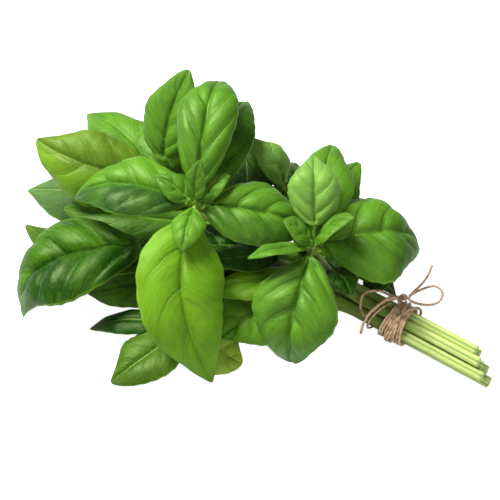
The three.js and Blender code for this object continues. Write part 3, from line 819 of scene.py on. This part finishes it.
def twine_material():
    made, tree, shader = material("jute twine")
    place = wire(tree, "ShaderNodeTexCoord").outputs["Object"]
    shares = wire(tree, "ShaderNodeUVMap", uv_map="shares").outputs[0]
    lay = wire(tree, "ShaderNodeMapping", {0: shares, 3: (12, 260, 1)}).outputs[0]
    fibre = wire(tree, "ShaderNodeTexNoise", {"Vector": lay, "Scale": 1.0, "Detail": 5}).outputs[0]
    patches = wire(tree, "ShaderNodeTexNoise", {"Vector": place, "Scale": 420, "Detail": 4}).outputs[0]
    colour = mix_paint(tree, ramp(tree, patches, 0.4, 0.68), TWINE_TAN, TWINE_BROWN)
    colour = mix_paint(tree, ramp(tree, fibre, 0.5, 0.72, 0, 0.8), colour, TWINE_LIGHT)
    colour = mix_paint(tree, ramp(tree, fibre, 0.46, 0.3, 0, 0.7), colour, TWINE_BROWN)
    tree.links.new(colour, shader.inputs["Base Color"])
    bump = wire(tree, "ShaderNodeBump", {"Strength": 0.8, "Distance": 0.0002, "Height": fibre})
    tree.links.new(bump.outputs[0], shader.inputs["Normal"])
    shader.inputs["Roughness"].default_value = 0.95
    shader.inputs["Sheen Weight"].default_value = 0.3
    return made


TWINE_SKIN = twine_material()


def smooth_line(points, steps):
    """A line through the points, as the solids' curves run through theirs."""
    points = [2 * points[0] - points[1], *points, 2 * points[-1] - points[-2]]
    line = []
    for a, b, c, d in zip(points, points[1:], points[2:], points[3:]):
        first, second, third = [(q - p).length ** 0.5 for p, q in ((a, b), (b, c), (c, d))]
        leave = ((b - a) / first - (c - a) / (first + second) + (c - b) / second) * second
        arrive = ((c - b) / second - (d - b) / (second + third) + (d - c) / third) * second
        for i in range(steps):
            t = i / steps
            line.append(
                b * (2 * t**3 - 3 * t**2 + 1) + leave * (t**3 - 2 * t**2 + t)
                + c * (3 * t**2 - 2 * t**3) + arrive * (t**3 - t**2)
            )
    return [*line, points[-2]]


def even_line(line, step):
    """The line cut at even distances."""
    reach = [0.0]
    for a, b in zip(line, line[1:]):
        reach.append(reach[-1] + (b - a).length)
    count = max(2, round(reach[-1] / step))
    even, at = [], 0
    for i in range(count + 1):
        goal = reach[-1] * i / count
        while at < len(line) - 2 and reach[at + 1] < goal:
            at += 1
        share = (goal - reach[at]) / max(1e-9, reach[at + 1] - reach[at])
        even.append(line[at].lerp(line[at + 1], min(1.0, share)))
    return even, reach[-1]


def lay_twine(bm, line, diameter=TWINE_DIAMETER):
    """Twisted twine along a line, with its ends closed, and the middles of its rows."""
    centres, long = even_line(line, TWINE_STEP)
    rows = len(centres) - 1
    way = (centres[1] - centres[0]).normalized()
    side = way.orthogonal().normalized()
    frames = []
    for i in range(rows + 1):
        new_way = (centres[min(rows, i + 1)] - centres[max(0, i - 1)]).normalized()
        side = (way.rotation_difference(new_way) @ side).normalized()
        side = (side - new_way * side.dot(new_way)).normalized()
        way = new_way
        frames.append((side, way.cross(side)))

    def place(round_share, along):
        row = round(along * rows)
        side, lift = frames[row]
        angle = 2 * math.pi * round_share
        lobe = abs(math.cos((angle - 2 * math.pi * along * long / TWIST_LENGTH) * TWINE_PLIES / 2))
        radius = diameter / 2 * (0.72 + 0.3 * lobe**0.7)
        rough = noise.noise(centres[row] * 0.9) * 0.06 + noise.noise(centres[row] * 3.1) * 0.05
        radius *= 1 + rough
        if row == 0 or row == rows:
            radius = 0
        return centres[row] + side * radius * math.cos(angle) + lift * radius * math.sin(angle)

    rolled_grid(bm, TWINE_SIDES, rows, place)
    return centres


def twine_piece(name, line, diameter=TWINE_DIAMETER):
    """A strand along a line as a piece of its own, and the middles of its rows."""
    bm = bmesh.new()
    centres = lay_twine(bm, line, diameter)
    piece = finished(bm, name, [TWINE_SKIN])
    return piece, centres


def fray(bm, centres, count, chance, longest=FIBRE_LENGTH):
    """Loose fibres that stand off a length of twine, where the table leaves them room."""
    for _ in range(count):
        at = chance.randrange(1, len(centres) - 1)
        way = (centres[at + 1] - centres[at - 1]).normalized()
        out = Quaternion(way, chance.uniform(0, 2 * math.pi)) @ way.orthogonal().normalized()
        root = centres[at] + out * TWINE_DIAMETER * 0.38
        long = chance.uniform(0.6, longest)
        lean = way * chance.choice((-1, 1)) * long * chance.uniform(0.5, 1)
        tip = root + out * long * chance.uniform(0.15, 0.5) + lean
        bend = root.lerp(tip, 0.5) + out * long * chance.uniform(-0.05, 0.25)
        line = [root, bend, tip]
        thin = chance.uniform(0.04, 0.065)
        if min(bend.z, tip.z) < FIBRE_CLEARANCE:
            continue

        def place(round_share, along):
            centre, run = bezier(line, along), bezier_way(line, along)
            side = run.orthogonal().normalized()
            radius = 0 if along in (0.0, 1.0) else thin * (1 - 0.6 * along)
            angle = 2 * math.pi * round_share
            return centre + (side * math.cos(angle) + run.cross(side) * math.sin(angle)) * radius

        rolled_grid(bm, 3, 5, place)


knot_away = WRAP_RADIUS + TWINE_DIAMETER / 2 + KNOT_GAP + KNOT_HALF[2]
KNOT_MIDDLE = around_bundle(KNOT_ANGLE, knot_away, KNOT_PAST_TIE)
fibres = bmesh.new()

# The two bows: each is a loop and a tail of one soft strand that lies or springs free.
for name, rows in (("right", BOW_RIGHT), ("left", BOW_LEFT)):
    line = smooth_line([Vector(row) + KNOT_MIDDLE for row in rows], 12)
    piece, centres = twine_piece("bow_loop_" + name, line)
    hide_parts("bow_" + name)
    path = [tuple((centre + LAYOUT_SHIFT) * MM) for centre in centres]
    long = sum(math.dist(a, b) for a, b in zip(path, path[1:]))
    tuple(path[0])
    chance = random.Random("bow " + name)
    fray(fibres, centres, FIBRES_ON_BOW, chance)
    fray(fibres, centres[-END_ROWS:], FIBRES_ON_END, chance, END_FIBRE_LENGTH)

# The band of turns round the stems, close together under the knot and spread out below it.
WRAP_STEPS = 48
line = []
for i in range(WRAP_TURNS * WRAP_STEPS + 1):
    turn = i / WRAP_STEPS - WRAP_TURNS / 2
    below = (1 - math.cos(math.radians(360 * turn - KNOT_ANGLE))) / 2
    stray = 0.5 * noise.noise(Vector((turn * 2.3, 0, 7)))
    past = WRAP_PITCH * turn * (0.66 + 0.46 * below) + 1.2 * (1 - below) + stray
    line.append(around_bundle(360 * turn, WRAP_RADIUS + 0.1 * math.sin(turn * 5), past))
piece, centres = twine_piece("twine_band", line)
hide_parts("twine_wrap")
fray(fibres, centres, FIBRES_ON_BAND, random.Random("band"))

# The last turns lie over the band and cross it at a slant.
OVER_TURNS = (("first", 100, 5.5, 0.95), ("second", 150, -6, 1.0), ("third", 60, 3, 1.05))
for name, start, slant, away in OVER_TURNS:
    line = []
    for i in range(WRAP_STEPS + 1):
        share = i / WRAP_STEPS
        past = 0.8 + slant * math.sin(math.pi * share) * math.cos(math.pi * share * 1.5)
        tuck = 0.9 * (1 - smoothstep(0, 0.06, min(share, 1 - share)))
        line.append(around_bundle(start + 360 * share, WRAP_RADIUS + away - tuck, past))
    piece, centres = twine_piece("twine_over_" + name, line)
    fray(fibres, centres, FIBRES_ON_TURN, random.Random("over " + name))

# The knot: the strand goes over and under itself.
line = []
for i in range(KNOT_STEPS + 1):
    t = 2 * math.pi * i / KNOT_STEPS
    spread = Vector((
        (math.sin(t) + 2 * math.sin(2 * t)) * 0.95,
        (math.cos(t) - 2 * math.cos(2 * t)) * 0.5,
        -math.sin(3 * t) * 0.9,
    ))
    line.append(KNOT_MIDDLE + spread)
piece, centres = twine_piece("twine_tie", line)
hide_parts("twine_knot")
fray(fibres, centres, FIBRES_ON_KNOT, random.Random("knot"))

# A loose turn that slipped off the band towards the leaves.
line = []
for i in range(LOOSE_STEPS + 1):
    share = i / LOOSE_STEPS
    slip = math.sin(math.pi * min(1.0, share * 1.15)) ** 0.8 if share < 0.87 else 0
    line.append(around_bundle(KNOT_ANGLE + 20 + 300 * share, WRAP_RADIUS, -5 - 6.5 * slip))
piece, centres = twine_piece("twine_loose_turn", line, LOOSE_DIAMETER)
fray(fibres, centres, FIBRES_ON_TURN, random.Random("loose"))
piece = finished(fibres, "twine_fibres", [TWINE_SKIN])

# ---------------------------------------------------------------------------------------------
# Table top and light. A plain white table under a broad soft light from above and behind, with
# a weaker fill from the side of the camera.
TABLE_GLOW = 0.05
TABLE_WHITE_TO_CAMERA = 0.85
LIGHT_AIM = (0, 0, 0.03)
WORLD_LIGHT = 0.2
bm = bmesh.new()
bmesh.ops.create_grid(bm, x_segments=1, y_segments=1, size=6)
table_mesh = bpy.data.meshes.new("table")
bm.to_mesh(table_mesh)
bm.free()
table = bpy.data.objects.new("table", table_mesh)
made, tree, shader = material("table")
shader.inputs["Base Color"].default_value = (0.6, 0.6, 0.6, 1)
shader.inputs["Roughness"].default_value = 0.9
shader.inputs["Emission Color"].default_value = (1, 1, 1, 1)
seen = wire(tree, "ShaderNodeLightPath").outputs["Is Camera Ray"]
glow = sums(tree, "MULTIPLY_ADD", seen, TABLE_WHITE_TO_CAMERA, TABLE_GLOW)
tree.links.new(glow, shader.inputs["Emission Strength"])
table_mesh.materials.append(made)
bpy.context.scene.collection.objects.link(table)


def soft_light(name, place, aim, size, watts):
    """A square lamp at place that faces aim, both in metres."""
    lamp = bpy.data.lights.new(name, "AREA")
    lamp.size = size
    lamp.energy = watts
    holder = bpy.data.objects.new(name, lamp)
    holder.location = Vector(place)
    holder.rotation_euler = (Vector(aim) - Vector(place)).to_track_quat("-Z", "Y").to_euler()
    bpy.context.scene.collection.objects.link(holder)


soft_light("main light", (-0.5, 0.25, 1.0), LIGHT_AIM, size=0.5, watts=23)
soft_light("fill light", (0.3, -0.9, 0.6), LIGHT_AIM, size=0.9, watts=3.4)

world = bpy.data.worlds.new("studio")
world.use_nodes = True
world.node_tree.nodes["Background"].inputs[0].default_value = (1, 1, 1, 1)
world.node_tree.nodes["Background"].inputs[1].default_value = WORLD_LIGHT
bpy.context.scene.world = world
bpy.context.scene.view_settings.view_transform = "Standard"
